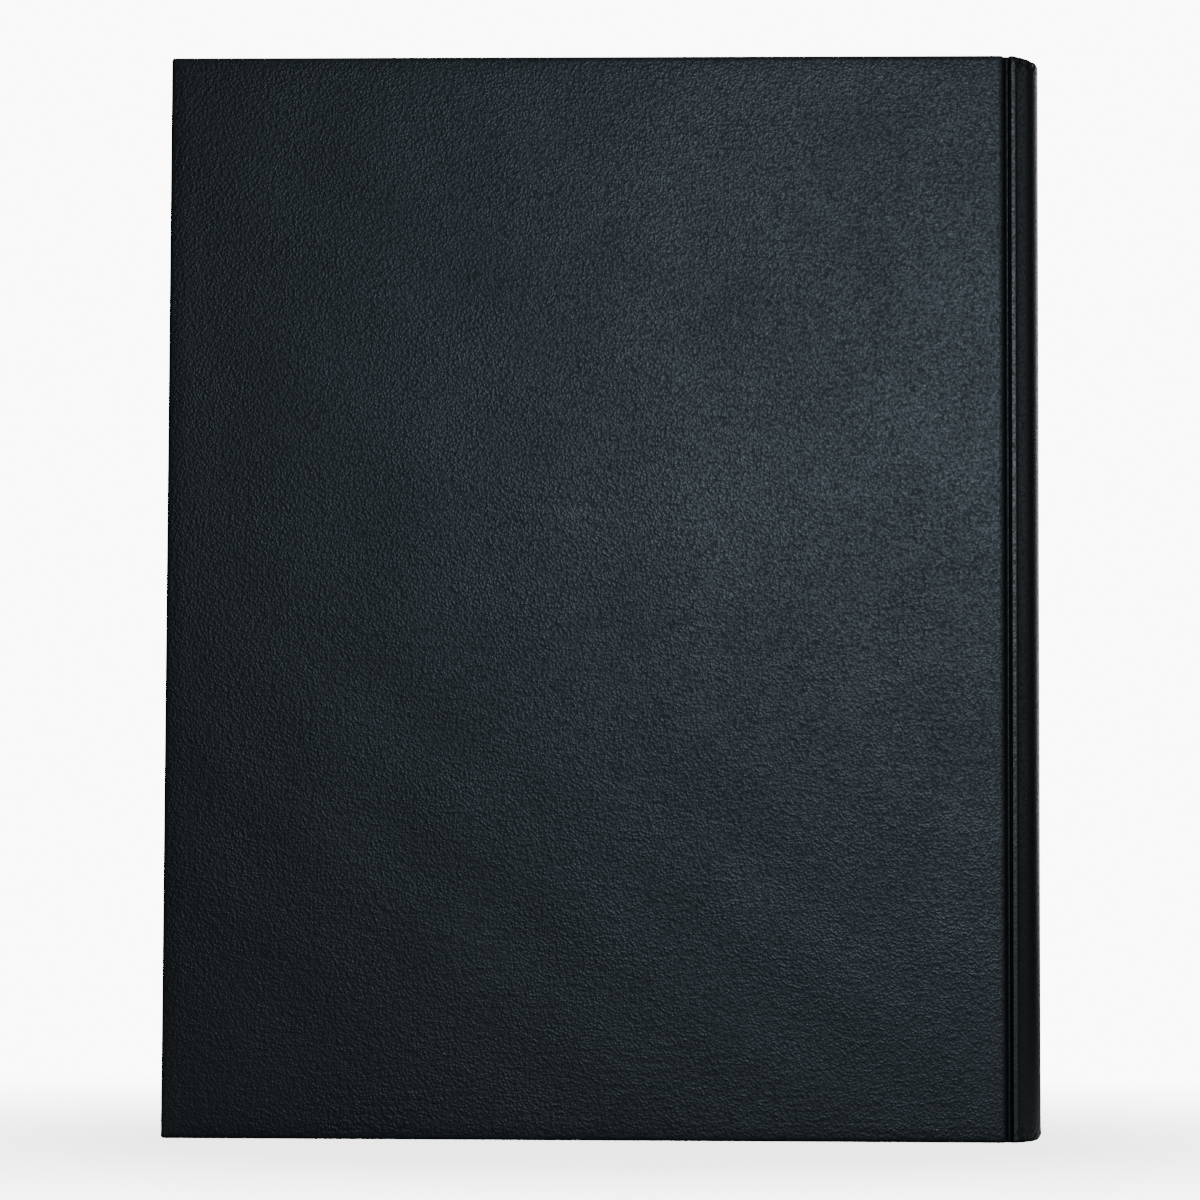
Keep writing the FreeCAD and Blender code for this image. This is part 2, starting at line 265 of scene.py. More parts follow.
def apply_modifiers(piece):
    """Puts what the modifiers make into the mesh."""
    seen = piece.evaluated_get(bpy.context.evaluated_depsgraph_get())
    made = bpy.data.meshes.new_from_object(seen)
    piece.modifiers.clear()
    old, piece.data = piece.data, made
    bpy.data.meshes.remove(old)
    piece.data.name = piece.name
    smooth_shading(piece.data)


def tube(name, centres, across, upward, radii, material):
    """A closed tube along centres. Each ring is the centre plus the radius times cos of its angle across
    and sin of its angle upward; the ends shrink to a point."""
    turn = np.linspace(0, 2 * math.pi, CORD_SIDES, endpoint=False)[None, :, None]
    ring = np.cos(turn) * across[:, None, :] + np.sin(turn) * upward[:, None, :]
    points = centres[:, None, :] + radii[:, None, None] * ring
    at = np.arange(len(centres) * CORD_SIDES).reshape(-1, CORD_SIDES)
    after = np.roll(at, -1, axis=1)
    quads = np.stack([at[:-1], after[:-1], after[1:], at[1:]], axis=-1).reshape(-1, 4)
    return solid_from(name, points, quads, material)


# ---------------------------------------------------------------- materials


class Wire:
    """One value socket; Python's operators on it add Math nodes."""

    def __init__(self, paint, socket):
        self.paint, self.socket = paint, socket

    def maths(self, operation, *values):
        """The output of a Math node on these values."""
        return self.paint.node("ShaderNodeMath", {"operation": operation}, dict(enumerate(values)))

    def __add__(self, other):
        return self.maths("ADD", self, other)

    def __sub__(self, other):
        return self.maths("SUBTRACT", self, other)

    def __rsub__(self, other):
        return self.maths("SUBTRACT", other, self)

    def __mul__(self, other):
        return self.maths("MULTIPLY", self, other)

    __radd__ = __add__
    __rmul__ = __mul__


class Paint:
    """A material whose nodes come from one method."""

    def __init__(self, name, **constants):
        self.material = bpy.data.materials.new(name)
        self.material.use_nodes = True
        self.tree = self.material.node_tree
        self.shader = self.tree.nodes["Principled BSDF"]
        for socket, value in constants.items():
            self.shader.inputs[socket.replace("_", " ")].default_value = value

    def node(self, kind, settings=None, values=None, output=0):
        """One node: settings first, then the values or wires of its sockets. Returns one output's
        wire."""
        made = self.tree.nodes.new(kind)
        for setting, value in (settings or {}).items():
            setattr(made, setting, value)
        for socket, value in (values or {}).items():
            if isinstance(value, Wire):
                self.tree.links.new(value.socket, made.inputs[socket])
            else:
                made.inputs[socket].default_value = value
        return Wire(self, made.outputs[output])

    def places(self, stretch=(1.0, 1.0, 1.0)):
        """The piece's own coordinates in metres, multiplied by stretch."""
        own = self.node("ShaderNodeTexCoord", output="Object")
        return self.node("ShaderNodeMapping", None, {"Vector": own, "Scale": stretch})

    def noise(self, places, scale, detail=2.0, rough=0.5):
        """Noise from 0 to 1 with this many lumps to the metre."""
        values = {"Vector": places, "Scale": scale, "Detail": detail, "Roughness": rough}
        return self.node("ShaderNodeTexNoise", None, values)

    def pebbles(self, places, scale):
        """Rounded cells: 0 at a cell's middle, rising to its border."""
        settings = {"feature": "SMOOTH_F1", "distance": "EUCLIDEAN"}
        values = {"Vector": places, "Scale": scale, "Smoothness": 0.6}
        return self.node("ShaderNodeTexVoronoi", settings, values)

    def ribs(self, direction, scale):
        """Slightly wandering bands, one after another in this direction."""
        settings = {"wave_type": "BANDS", "bands_direction": direction, "wave_profile": "SIN"}
        values = {"Vector": self.places(), "Scale": scale, "Distortion": 0.4}
        return self.node("ShaderNodeTexWave", settings, values)

    def between(self, wire, low, high, to_low=0.0, to_high=1.0):
        """The wire's stretch from low to high carried to another stretch, held at its ends."""
        values = {"Value": wire, "From Min": low, "From Max": high, "To Min": to_low, "To Max": to_high}
        return self.node("ShaderNodeMapRange", None, values)

    def mix(self, share, first, second):
        """Two colours mixed by share."""
        pair = [tuple(c) + (1.0,) if not isinstance(c, Wire) else c for c in (first, second)]
        return self.node("ShaderNodeMix", {"data_type": "RGBA"}, {0: share, 6: pair[0], 7: pair[1]}, output=2)

    def attribute(self, name):
        """A number stored on the mesh."""
        return self.node("ShaderNodeAttribute", {"attribute_name": name}, output="Fac")

    def axis(self, places, name):
        """One axis of a vector."""
        return self.node("ShaderNodeSeparateXYZ", None, {"Vector": places}, output=name)

    def bump(self, height, depth):
        """A bumped normal, height from 0 to 1 over depth metres."""
        values = {"Height": height, "Distance": depth, "Strength": 1.0}
        return self.node("ShaderNodeBump", None, values)

    def finish(self, **wires):
        """Feeds the shader's sockets."""
        for socket, wire in wires.items():
            self.tree.links.new(wire.socket, self.shader.inputs[socket.replace("_", " ")])
        return self.material


def leathercloth(name, grain, tint):
    """Near-black pebbled leathercloth: round cells, fine pores and faint level creases that gather
    towards the tail. Its colour is darker in the hollows of the grain and creases and lighter on their
    tops, as painted shade and light; it is duller in the hollows and where it rolls over an edge, with
    soft smears of handling. The relief is what a cell lacks of one half, times the patches, plus the pores."""
    look = bpy.context.scene.sketchbook_leather
    warp, painted_hollow_shade, painted_top_light = 1.1 * MM, 0.45, 1.7
    # the specular tint is painted reflection colour, set by leather() and spine_leather()
    paint = Paint(name, IOR=1.5, Specular_IOR_Level=0.5, Specular_Tint=tint)
    even = paint.places()
    lumps = paint.node("ShaderNodeTexNoise", None, {"Vector": even, "Scale": 420.0}, output="Color")
    values = {0: lumps, 1: (warp,) * 3, 2: even}
    warped = paint.node("ShaderNodeVectorMath", {"operation": "MULTIPLY_ADD"}, values)
    per_metre = 1 / look.grain_size
    cells = paint.pebbles(warped, per_metre)
    fine = paint.noise(warped, per_metre * 2.6, 3.0, 0.6)
    level = paint.noise(paint.places((0.32, 1.0, 1.0)), per_metre * 0.5, 3.0, 0.55)
    low = paint.between(paint.axis(even, "Z"), HEIGHT * 0.65, 0.0, 0.25, 0.8)
    patches = paint.noise(even, 70.0, 3.0, 0.6)
    smear = paint.noise(even, 26.0, 4.0, 0.6)
    broad = paint.noise(even, 9.0, 2.0, 0.5)
    rolled = paint.attribute("rolled")
    relief = (0.5 - cells) * (0.55 + patches * 0.5) + fine * 0.3
    height = 0.35 + relief + (level - 0.5) * low
    # painted shade and light: the hollows of the grain and creases take a darker colour and the tops a
    # lighter one
    hollow = paint.between(height, 0.25, 0.75)
    dark = tuple(c * painted_hollow_shade for c in look.shade)
    light = tuple(c * painted_top_light for c in look.shade)
    handled = look.roughness + (smear - 0.5) * 0.14 + (broad - 0.5) * 0.08
    rough = handled + (1 - hollow) * 0.2 + rolled * 0.3
    return paint.finish(
        Base_Color=paint.mix(hollow, dark, light),
        Roughness=rough,
        Normal=paint.bump(height, look.grain_depth * grain),
    )


def paper(name, shade, edge_lines=False):
    """Uncoated paper: cloudy fibres and a fine tooth. With edge lines, thin lines across the thickness
    show the leaves of a block in their place, painted darker as painted shade in the gaps between leaves."""
    paint = Paint(name, Roughness=0.82, Specular_IOR_Level=0.25)
    even = paint.places()
    if edge_lines:
        drift = paint.noise(even, 300.0, 3.0, 0.6)
        relief = paint.noise(paint.places((0.001, 1.0, 0.001)), 5200.0, 1.0, 0.5)
        share = paint.between(relief * 0.94 + drift * 0.06, 0.34, 0.58)
        # painted shade: on the block's edge the thin lines between leaves are painted darker
        depth, darker = 0.09 * MM, (0.66, 0.63, 0.57)
    else:
        cloud = paint.noise(even, 60.0, 4.0, 0.6)
        relief = paint.noise(paint.places((1.0, 1.0, 0.35)), 1500.0, 3.0, 0.65)
        share = paint.between(cloud * 0.4 + relief * 0.6, 0.25, 0.7)
        depth, darker = 0.05 * MM, (0.9, 0.885, 0.86)
    # darker tone: cloudy fibres on a sheet, painted shade between the leaves on the block's edge
    fibre_tone_and_gap_shade = tuple(c * k for c, k in zip(shade, darker, strict=True))
    return paint.finish(Base_Color=paint.mix(share, fibre_tone_and_gap_shade, shade), Normal=paint.bump(relief, depth))


def greyboard():
    """Pressed grey board: flecks of fibre in layers."""
    paint = Paint("greyboard", Roughness=0.9, Specular_IOR_Level=0.2)
    fleck = paint.noise(paint.places((1.0, 3.0, 1.0)), 900.0, 4.0, 0.7)
    share = paint.between(fleck, 0.35, 0.65)
    return paint.finish(
        Base_Color=paint.mix(share, (0.26, 0.24, 0.21), (0.44, 0.42, 0.38)),
        Normal=paint.bump(fleck, 0.08 * MM),
    )


def woven(name, low, high, per_metre, depth):
    """A plain weave: the mean of two sets of threads at right angles, one stacked along Z and one along
    Y."""
    paint = Paint(name, Roughness=0.85, Specular_IOR_Level=0.2)
    height = paint.ribs("Z", per_metre) * 0.5 + paint.ribs("Y", per_metre) * 0.5
    return paint.finish(Base_Color=paint.mix(height, low, high), Normal=paint.bump(height, depth))


def dried_glue():
    """A thin dried film of bookbinder's glue, uneven and slightly glossy."""
    paint = Paint("dried_glue", Specular_IOR_Level=0.4)
    blots = paint.noise(paint.places(), 240.0, 4.0, 0.6)
    return paint.finish(
        Base_Color=paint.mix(blots, (0.56, 0.49, 0.34), (0.80, 0.76, 0.62)),
        Roughness=paint.between(blots, 0.3, 0.7, 0.32, 0.6),
        Normal=paint.bump(blots, 0.1 * MM),
    )


def band_silk():
    """Sewn head band: turns of dark and pale silk, by the stored turn number."""
    paint = Paint("band_silk", Roughness=0.5, Specular_IOR_Level=0.4)
    turn = paint.attribute("turn")
    share = paint.between(turn, 0.4, 0.6)
    strand = paint.noise(paint.places(), 4000.0, 2.0, 0.6)
    return paint.finish(
        Base_Color=paint.mix(share, (0.02, 0.022, 0.025), (0.55, 0.53, 0.48)),
        Normal=paint.bump(strand, 0.05 * MM),
    )


def plain_stage(name, shade):
    """Pale matt studio paper with a faint cloudiness, partly clear, fading out into the white all
    round."""
    paint = Paint(name, Roughness=0.95, Specular_IOR_Level=0.1)
    near, far, cover = 0.12, 0.45, 0.66
    even = paint.places()
    cloud = paint.noise(even, 3.0, 2.0, 0.5)
    away = paint.node("ShaderNodeVectorMath", {"operation": "LENGTH"}, {0: even}, output="Value")
    return paint.finish(
        Base_Color=paint.mix(cloud, tuple(c * 0.985 for c in shade), shade),
        Alpha=paint.between(away, near, far, cover, 0.0),
    )


def material(name, make, *values):
    """The material of that name, made the first time it is asked for."""
    return bpy.data.materials.get(name) or make(*values)


def leather():
    """The leathercloth over the boards."""
    # painted reflection colour: the blue tint of the boards' reflections stands in for the cool light they
    # mirror
    name, tint = "leathercloth", (0.74, 0.88, 1.0, 1.0)
    return material(name, leathercloth, name, 1.0, tint)


def spine_leather():
    """The same leathercloth drawn smooth over the spine and into the grooves."""
    # painted reflection colour: the spine's greener tint stands in for the duller surroundings it mirrors
    name, tint = "leathercloth_spine", (0.80, 0.92, 0.98, 1.0)
    return material(name, leathercloth, name, bpy.context.scene.sketchbook_leather.spine_grain, tint)


# ---------------------------------------------------------------- pieces


def store(piece, name, values):
    """Stores one number for each vertex."""
    piece.data.attributes.new(name, "FLOAT", "POINT").data.foreach_set("value", values.astype(np.float32))


def vertices(piece):
    """The mesh's points as an array."""
    points = np.empty(len(piece.data.vertices) * 3, np.float32)
    piece.data.vertices.foreach_get("co", points)
    return points.reshape(-1, 3).astype(float)


def mark_rolled(piece, groove_edge=math.inf):
    """Stores how far each vertex is rolled over an edge: 1 on the outline, with a smooth step to 0
    inwards. The outline is the fore edge, head and tail, and the groove edge where there is one."""
    at = vertices(piece)
    near = np.minimum.reduce([at[:, 0] - FORE_X, groove_edge - at[:, 0], at[:, 2], HEIGHT - at[:, 2]])
    store(piece, "rolled", 1 - smooth(near / ROLLED_WIDTH))


def dress(piece, body, slot, *nodes):
    """The piece rides on a body and stands for these CAD nodes; the slot is not used."""
    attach(piece, body)
    if nodes:
        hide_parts(*nodes)


def make_cover(side, sign):
    """A board in its covering: a slab whose outer face is the cover's, less some room, plus slow waves
    that fade out at its edges, less a smooth step down beside them."""
    shape = bpy.context.scene.sketchbook_cover
    groove_edge = BOARD_EDGE + shape.wrapped
    edge_strip, fine, coarse = 6 * MM, 1.5 * MM, 2.2 * MM
    longest, shortest, fade = 70 * MM, 18 * MM, 12 * MM
    room, step_down, step_width = 0.06 * MM, 0.1 * MM, 3.5 * MM
    xs = ramped(FORE_X, groove_edge, edge_strip, edge_strip, fine, coarse)
    zs = ramped(0.0, HEIGHT, edge_strip, edge_strip, fine, coarse)
    x, z = np.meshgrid(xs, zs, indexing="ij")
    near = np.minimum.reduce([x - FORE_X, groove_edge - x, z, HEIGHT - z])
    ripple = shape.ripple * waves(x, z, 11 + sign, longest, shortest) * smooth(near / fade)
    rolled = step_down * (1 - smooth(near / step_width))
    outer = sign * (COVER_OUT - room + ripple - rolled)
    piece = slab(f"{side}_cover_leather", xs, zs, outer, sign * FLAP_IN, leather())
    round_edges(piece, shape.edge_radius)
    mark_rolled(piece, groove_edge)
    dress(piece, f"{side}_cover", "covering", f"{side}_covering")


def make_pastedown(side, sign):
    """The endpaper pasted to a board: a thin sheet, sunk by a smooth step between the turn-ins under it,
    plus faint waves."""
    shape = bpy.context.scene.sketchbook_cover
    low, high = PASTE_LOW, PASTE_HIGH
    fine, coarse, step_width = 1 * MM, 6 * MM, 1.5 * MM
    cockle, room, tucked = 0.008 * MM, 0.02 * MM, 0.1 * MM
    xs = ramped(low.x, high.x, 20 * MM, 4 * MM, fine, coarse)
    zs = ramped(low.z, high.z, 20 * MM, 20 * MM, fine, coarse)
    x, z = np.meshgrid(xs, zs, indexing="ij")
    inside = np.minimum.reduce([x - FORE_X, z, HEIGHT - z]) - shape.turn_in
    sunk = shape.pasted_step * smooth(inside / step_width)
    sunk += cockle * waves(x, z, 31 + sign, 60 * MM, 20 * MM)
    outer = sign * (FLAP_IN + tucked)
    inner = sign * (low.y + room + sunk)
    piece = slab(f"{side}_pastedown_sheet", xs, zs, outer, inner, endpaper())
    dress(piece, f"{side}_cover", "endpaper", f"{side}_pastedown")


def endpaper():
    """The paper pasted inside the covers and across the joints."""
    return material("endpaper", paper, "endpaper", tuple(bpy.context.scene.sketchbook_paper.endpaper))


def spine_circle():
    """The centre's X and the radius of the spine's outer circle."""
    bulge = bpy.context.scene.sketchbook_spine.bulge
    radius = (SPINE_REACH**2 + bulge**2) / (2 * bulge)
    return SPINE_X - radius, radius


def ridge_profile(x):
    """Height of the covering over groove and ridge: the lower of the spine's circle and the flat ridge,
    blended by a smooth minimum, less the depth of a groove that slants down from the board's edge and
    rises by a smooth step."""
    shape = bpy.context.scene.sketchbook_spine
    centre, radius = spine_circle()
    circle = np.sqrt(np.maximum(radius**2 - (x - centre) ** 2, 0))
    level = COVER_OUT - shape.ridge_level
    softness = 0.25 * MM
    share = np.clip(0.5 + (level - circle) / (2 * softness), 0, 1)
    lower = circle * share + level * (1 - share) - softness * share * (1 - share)
    slant = smooth(0.5 + (x - BOARD_EDGE) / (WALL_START - BOARD_EDGE) / 2)
    return lower - shape.groove_depth * slant * (1 - smooth((x - WALL_START) / shape.groove_wall))


def make_joint(side, sign):
    """The covering in one groove: the ridge profile from beside the board's edge to a seam low on the
    groove's wall, a wall nine tenths of the covering's thickness, dropped by a quarter round at head and
    tail."""
    room, overlap = 0.06 * MM, 0.04 * MM
    fold, bend_end = 0.3 * MM, 1.0 * MM
    xs = np.linspace(BOARD_EDGE + room, SEAM_X + overlap, 40)
    ys = ridge_profile(xs)
    slope = np.gradient(ys, xs)
    normal = np.stack([-slope, np.ones_like(slope)], axis=-1) / np.hypot(slope, 1)[:, None]
    line = np.stack([xs, ys], axis=-1)
    under = line - normal * CLOTH * 0.9
    zs = ramped(0.0, HEIGHT, 4 * MM, 4 * MM, 0.4 * MM, 4 * MM)
    tip = np.minimum(zs, HEIGHT - zs)
    drop = fold * (1 - np.sqrt(1 - (1 - np.clip(tip / fold, 0, 1)) ** 2))
    grids = []
    for points in (line, under):
        x = np.broadcast_to(points[:, :1], (len(points), len(zs)))
        y = sign * (points[:, 1:] - drop[None, :])
        grids.append(np.stack([x, y, np.broadcast_to(zs, x.shape)], axis=-1))
    piece = wall(f"{side}_joint_leather", *grids, spine_leather())
    mark_rolled(piece)
    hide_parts(f"{side}_joint_cloth")
    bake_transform(piece)


def make_endpaper_joint(side, sign):
    """The endpaper across the joint: a flat strip midway between pastedown and
    flyleaf."""
    level, half = (PASTE_LOW.y + LEAF_HIGH.y) / 2, 0.035 * MM
    xs = np.linspace(LEAF_HIGH.x + 0.3 * MM, BOARD_EDGE - 1.0 * MM, 48)
    zs = np.linspace(PASTE_LOW.z, PASTE_HIGH.z, 80)
    piece = slab(f"{side}_endpaper_joint", xs, zs, sign * (level + half), sign * (level - half), endpaper())
    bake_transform(piece)


def make_leaf(side, leaf):
    """A free leaf: a sheet half its CAD solid's thickness, with close rows at its
    fold."""
    look = bpy.context.scene.sketchbook_paper
    low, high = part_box(f"{side}_{leaf}")
    thin = (high.y - low.y) / 4
    fine, coarse = 0.25 * MM, 7 * MM
    xs = ramped(low.x, high.x, 4 * MM, look.bend_width + 2 * MM, fine, coarse)
    zs = np.linspace(low.z, high.z, 60)
    kind, shade = ("endpaper", look.endpaper) if leaf == "flyleaf" else ("page", look.page)
    skin = material(kind, paper, kind, tuple(shade))
    piece = slab(f"{side}_{leaf}_sheet", xs, zs, high.y - thin, low.y + thin, skin)
    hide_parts(f"{side}_{leaf}")
    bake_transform(piece)


def make_spine():
    """The spine covering: the ridge profile up to the outer circle, and that circle round to the other
    ridge. At head and tail its bulge is scaled down so that the silhouette rounds off as a quarter
    circle, folds crumple it, and it ends in a turned-in lip whose edge is a half round."""
    shape = bpy.context.scene.sketchbook_spine
    centre, radius = spine_circle()
    widest = math.acos((SEAM_X - centre) / radius)
    angles = ramped(-widest, widest, 0.18, 0.18, 0.006, 0.02)
    edge = shape.lip / 2
    lip_depth, lip_step = 3.3 * MM, 0.4 * MM
    broad_reach, fine_reach, ridge_turn = 6 * MM, 3 * MM, 0.25
    ends = edge * (1 - np.cos(np.linspace(0, math.pi / 2, 7)))
    middle = ramped(edge, HEIGHT - edge, 8 * MM, 8 * MM, 0.3 * MM, 4 * MM)
    zs = np.concatenate([ends[:-1], middle, HEIGHT - ends[-2::-1]])
    angle, z = np.meshgrid(angles, zs, indexing="ij")
    tip = np.minimum(z, HEIGHT - z)
    flank = smooth((widest - np.abs(angle)) / ridge_turn)
    cap = shape.cap_radius
    round_in = cap - np.sqrt(cap**2 - np.clip(cap - tip, 0, None) ** 2)
    x = centre + radius * np.cos(angle)
    y = np.sign(angle) * np.minimum(np.abs(radius * np.sin(angle)), ridge_profile(x))
    x = SEAM_X + (x - SEAM_X) * (1 - round_in / shape.bulge * flank)
    along = radius * angle
    folds = waves(along, z * 1.3, 5, 5.5 * MM, 1.8 * MM, 12) * (1 - smooth(tip / broad_reach))
    folds += 0.45 * waves(along, z, 8, 3.2 * MM, 1.2 * MM, 9) * (1 - smooth(tip / fine_reach))
    closing = np.sqrt(1 - (1 - np.clip(tip / edge, 0, 1)) ** 2)
    turned = smooth((lip_depth - tip) / lip_step)
    thick = CLOTH + (shape.lip - CLOTH) * turned * flank
    away = np.stack([np.cos(angle), np.sin(angle), np.zeros_like(angle)], axis=-1)
    outer = np.stack([x, y, z], axis=-1)
    heart = outer - away * (thick / 2)[..., None]
    reach = thick / 2 * closing
    outer = heart + away * (reach + folds * closing * shape.crumple * flank)[..., None]
    piece = wall("spine_leather", outer, heart - away * reach[..., None], spine_leather())
    mark_rolled(piece)
    dress(piece, "text_block", "covering", "spine_covering")


def make_band(node):
    """A head or tail band: a cord along the rounded back of the leaves, wound with silk, its radius
    rising and falling once for each turn; the stored number tells dark turns from pale ones."""
    low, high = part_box(node)
    bead = (high.z - low.z) / 2
    reach = math.asin(high.y / (BACK_RADIUS + 0.6 * MM))
    steps = np.linspace(-reach, reach, 321)
    away = np.stack([np.cos(steps), np.sin(steps), 0 * steps], axis=-1)
    centre = np.array([BACK_CENTRE, 0, (low.z + high.z) / 2])
    centres = centre + (BACK_RADIUS - 0.15 * MM) * away
    upward = np.broadcast_to([0.0, 0.0, 1.0], away.shape)
    turns = (steps + reach) / (2 * reach) * BAND_TURNS
    swell = 0.9 + 0.1 * np.abs(np.sin(turns * math.pi))
    ends = np.sqrt(np.clip(1 - (np.abs(steps) / reach) ** 24, 0, 1))
    silk = material("band_silk", band_silk)
    piece = tube(f"{node}_silk", centres, away, upward, bead * swell * ends, silk)
    at = vertices(piece)
    along = (np.arctan2(at[:, 1], at[:, 0] - BACK_CENTRE) + reach) / (2 * reach) * BAND_TURNS
    store(piece, "turn", np.floor(along) % 2)
    dress(piece, "text_block", "band", node)


def paint_nodes(made, *names):
    """Gives CAD nodes one material."""
    for name in names:
        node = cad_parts[name]
        node.data.materials.clear()
        node.data.materials.append(made)


# ---------------------------------------------------------------- operators


class SKETCHBOOK_OT_covers(bpy.types.Operator):
    """Makes both boards in their leathercloth, and the endpapers pasted inside them"""

    bl_idname = "sketchbook.covers"
    bl_label = "Covers"

    def execute(self, context):
        for side, sign in SIDES:
            make_cover(side, sign)
            make_pastedown(side, sign)
        paint_nodes(material("greyboard", greyboard), "front_board", "back_board", "spine_inlay")
        return {"FINISHED"}


class SKETCHBOOK_OT_spine(bpy.types.Operator):
    """Makes the rounded spine covering and the covering in the two grooves"""

    bl_idname = "sketchbook.spine"
    bl_label = "Spine and joints"

    def execute(self, context):
        make_spine()
        for side, sign in SIDES:
            make_joint(side, sign)
        return {"FINISHED"}


class SKETCHBOOK_OT_leaves(bpy.types.Operator):
    """Makes the free leaves and the paper across the two joints, and paints the sewn block"""

    bl_idname = "sketchbook.leaves"
    bl_label = "Leaves"

    def execute(self, context):
        look = context.scene.sketchbook_paper
        for side, sign in SIDES:
            make_endpaper_joint(side, sign)
            for leaf in ("flyleaf", "leaf_1", "leaf_2"):
                make_leaf(side, leaf)
        block = material("page_block", paper, "page_block", tuple(look.page), True)
        paint_nodes(block, *(f"signature_{number}" for number in range(1, 8)))
        return {"FINISHED"}


class SKETCHBOOK_OT_linings(bpy.types.Operator):
    """Makes the head and tail bands, and paints the glue, mull, lining and thread"""

    bl_idname = "sketchbook.linings"
    bl_label = "Linings and bands"

    def execute(self, context):
        make_band("head_band")
        make_band("tail_band")
        paint_nodes(material("dried_glue", dried_glue), "spine_glue")
        mull = ("mull_weave", (0.52, 0.48, 0.38), (0.84, 0.80, 0.70), 700.0, 0.15 * MM)
        paint_nodes(material("mull_weave", woven, *mull), "mull")
        kraft = tuple(context.scene.sketchbook_paper.kraft)
        paint_nodes(material("kraft_lining", paper, "kraft_lining", kraft), "spine_lining")
        thread = ("thread_twist", (0.55, 0.50, 0.40), (0.86, 0.82, 0.72), 2200.0, 0.1 * MM)
        paint_nodes(material("thread_twist", woven, *thread), "sewing_thread")
        return {"FINISHED"}


class SKETCHBOOK_OT_stage(bpy.types.Operator):
    """Makes the pale floor, the soft light and the camera"""

    bl_idname = "sketchbook.stage"
    bl_label = "Stage"

    def execute(self, context):
        look = context.scene.sketchbook_stage
        make_floor(look)
        make_world(context.scene, look.ambient)
        make_lights(look)
        make_camera(context.scene, look)
        return {"FINISHED"}


def make_floor(look):
    """A wide flat floor under the tail edge."""
    mesh = bpy.data.meshes.new("floor")
    outline = [(x * FLOOR_REACH, y * FLOOR_REACH, 0) for x, y in ((-1, -1), (1, -1), (1, 1), (-1, 1))]
    mesh.from_pydata(outline, [], [(0, 1, 2, 3)])
    mesh.materials.append(plain_stage("studio_floor", tuple(look.floor_shade)))
    floor = bpy.data.objects.new("floor", mesh)
    bpy.context.scene.collection.objects.link(floor)


def make_world(scene, ambient):
    """White all round to the eye, and much dimmer as a light, so that black leathercloth stays black."""
    world = bpy.data.worlds.new("studio")
    world.use_nodes = True
    tree = world.node_tree
    seen = tree.nodes["Background"]
    seen.inputs["Color"].default_value = (1.0, 1.0, 1.0, 1.0)
    seen.inputs["Strength"].default_value = WHITE_SEEN
    lit = tree.nodes.new("ShaderNodeBackground")
    lit.inputs["Color"].default_value = (0.9, 0.95, 1.0, 1.0)
    lit.inputs["Strength"].default_value = ambient
    path = tree.nodes.new("ShaderNodeLightPath")
    mix = tree.nodes.new("ShaderNodeMixShader")
    tree.links.new(path.outputs["Is Camera Ray"], mix.inputs[0])
    tree.links.new(lit.outputs[0], mix.inputs[1])
    tree.links.new(seen.outputs[0], mix.inputs[2])
    tree.links.new(mix.outputs[0], tree.nodes["World Output"].inputs["Surface"])
    scene.world = world


def area_light(name, place, target, size, power, tint=(1.0, 1.0, 1.0)):
    """A square soft light at place, facing target."""
    lamp = bpy.data.lights.new(name, "AREA")
    lamp.shape, lamp.size, lamp.energy, lamp.color = "SQUARE", size, power, tint
    light = bpy.data.objects.new(name, lamp)
    bpy.context.scene.collection.objects.link(light)
    facing = (Vector(target) - Vector(place)).to_track_quat("-Z", "Y")
    light.matrix_world = Matrix.Translation(Vector(place)) @ facing.to_matrix().to_4x4()
    light.visible_camera = False


def make_lights(look):
    """A soft key beside the camera, mirrored by the cover right of its middle, and its weaker twin on the
    far side; a strong light overhead and a weak one above the front; one behind the spine, one beside it
    and one behind the fore edge."""
    middle = (0.0, 0.0, HEIGHT / 2)
    cool = (0.93, 0.97, 1.0)
    area_light("key", (0.20, -1.35, 0.36), middle, 0.3, look.key_power, cool)
    area_light("far_key", (0.25, 1.35, 0.36), middle, 0.3, look.key_power * 0.7, cool)
    area_light("top", (0.0, 0.5, 1.5), middle, 0.8, look.top_power)
    area_light("front_top", (-0.2, -0.9, 1.3), (0.0, -0.25, 0.0), 0.7, look.top_power * 0.15)
    area_light("side", (1.6, -0.25, 0.5), middle, 0.8, look.rim_power * 0.45)
    area_light("rim", (0.65, 1.3, 0.4), middle, 0.7, look.rim_power)
    area_light("fill", (-1.3, 0.9, 0.8), middle, 1.0, look.rim_power * 1.2)


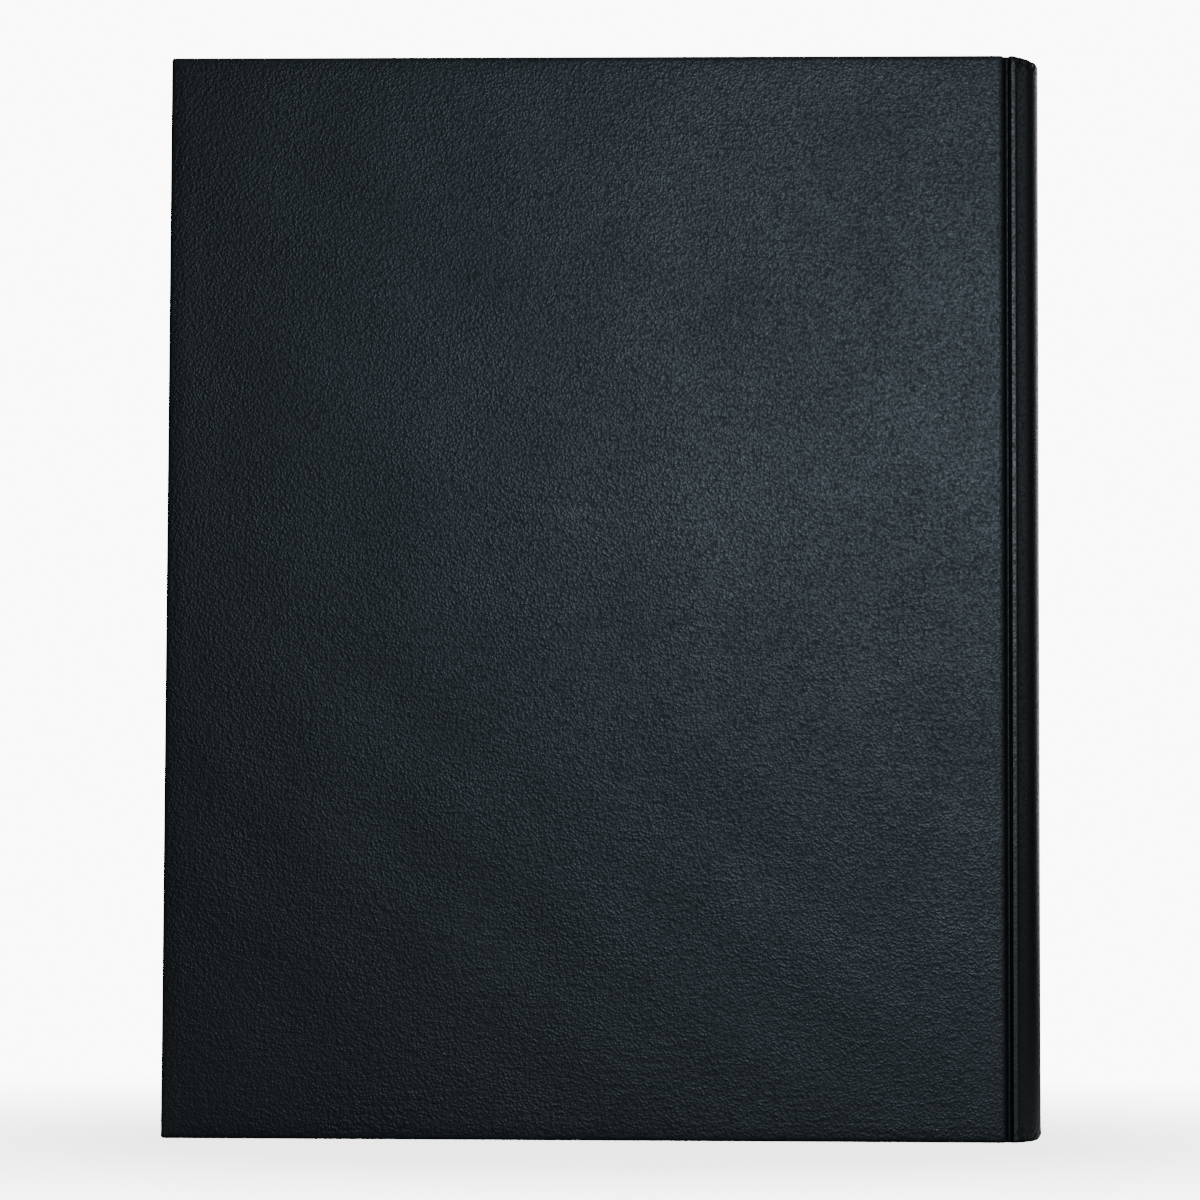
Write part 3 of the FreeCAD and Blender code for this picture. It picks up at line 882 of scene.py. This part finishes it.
def make_camera(scene, look):
    """A long lens, a little under the middle of the book and towards its spine, turned to it."""
    data = bpy.data.cameras.new("camera")
    data.sensor_width = SENSOR_WIDTH
    data.lens = data.sensor_width * look.distance / look.framed
    data.clip_start, data.clip_end = 0.01, 50.0
    camera = bpy.data.objects.new("camera", data)
    scene.collection.objects.link(camera)
    target = Vector((-0.65 * MM, -COVER_OUT, HEIGHT / 2 - 1.6 * MM))
    place = target + Vector((look.aside, -look.distance, -look.drop))
    facing = (target - place).to_track_quat("-Z", "Y").to_matrix().to_4x4()
    camera.matrix_world = Matrix.Translation(place) @ facing @ Matrix.Rotation(look.roll, 4, "Z")
    scene.camera = camera


class SKETCHBOOK_PT_panel(bpy.types.Panel):
    """Sizes, colours and steps of the sketchbook"""

    bl_idname = "SKETCHBOOK_PT_panel"
    bl_label = "Sketchbook"
    bl_space_type = "VIEW_3D"
    bl_region_type = "UI"
    bl_category = "Sketchbook"

    def draw(self, context):
        for name in SETTINGS:
            group = getattr(context.scene, name)
            for prop in group.bl_rna.properties:
                if prop.identifier not in ("rna_type", "name"):
                    self.layout.prop(group, prop.identifier)
        for step in STEPS:
            self.layout.operator(step.bl_idname)


SETTINGS = {
    "sketchbook_leather": LeatherSettings,
    "sketchbook_cover": CoverSettings,
    "sketchbook_spine": SpineSettings,
    "sketchbook_paper": PaperSettings,
    "sketchbook_stage": StageSettings,
}
STEPS = (
    SKETCHBOOK_OT_stage,
    SKETCHBOOK_OT_covers,
    SKETCHBOOK_OT_spine,
    SKETCHBOOK_OT_leaves,
    SKETCHBOOK_OT_linings,
)


def register():
    """Registers the settings, the steps and the panel."""
    for kind in (*SETTINGS.values(), *STEPS, SKETCHBOOK_PT_panel):
        bpy.utils.register_class(kind)
    for name, kind in SETTINGS.items():
        setattr(bpy.types.Scene, name, bpy.props.PointerProperty(type=kind))


def unregister():
    """Takes the panel, the steps and the settings out again."""
    for name in SETTINGS:
        delattr(bpy.types.Scene, name)
    for kind in reversed((*SETTINGS.values(), *STEPS, SKETCHBOOK_PT_panel)):
        bpy.utils.unregister_class(kind)


def main():
    """Runs every step in order."""
    register()
    for step in STEPS:
        group, name = step.bl_idname.split(".")
        getattr(getattr(bpy.ops, group), name)()


if __name__ == "__main__":
    main()
